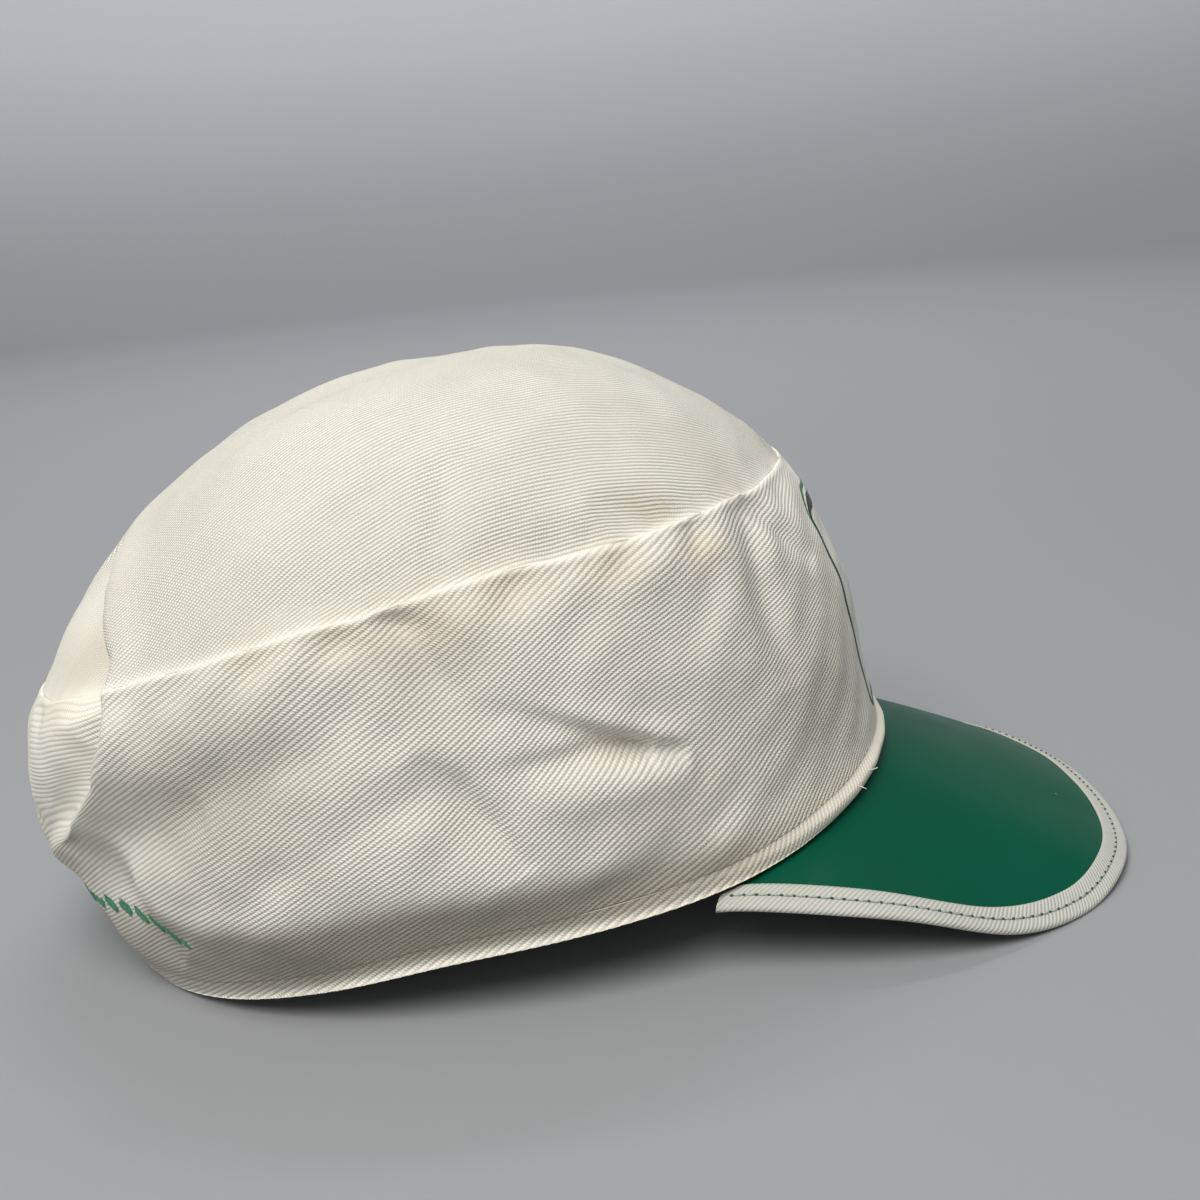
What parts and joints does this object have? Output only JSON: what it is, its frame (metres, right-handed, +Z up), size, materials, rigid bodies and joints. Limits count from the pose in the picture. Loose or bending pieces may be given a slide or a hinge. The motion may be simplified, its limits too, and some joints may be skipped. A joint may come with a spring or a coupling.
{
  "type": "cadet cap",
  "caption": "Soft twill cap with a domed crown panel on a deep side band, a rolled hem, and a curved plastic peak bound in tape.",
  "frame": {"origin": "on the table under the middle of the cap's bounding box, as the cap rests", "axes": "+X forwards to the peak, +Y to the wearer's left, +Z up"},
  "size_m": [0.2885, 0.173, 0.143],
  "materials": {
    "twill": "unbleached coarse cotton twill, washed and slightly yellowed",
    "green_sheet": "smooth dark green vinyl sheet with a soft gloss",
    "tape": "narrow white cotton twill tape"
  },
  "bodies": {
    "root": {"crown_top": "twill", "side_band": "twill", "hem_roll": "twill", "peak": "green_sheet", "peak_binding": "tape"}
  },
  "joints": []
}
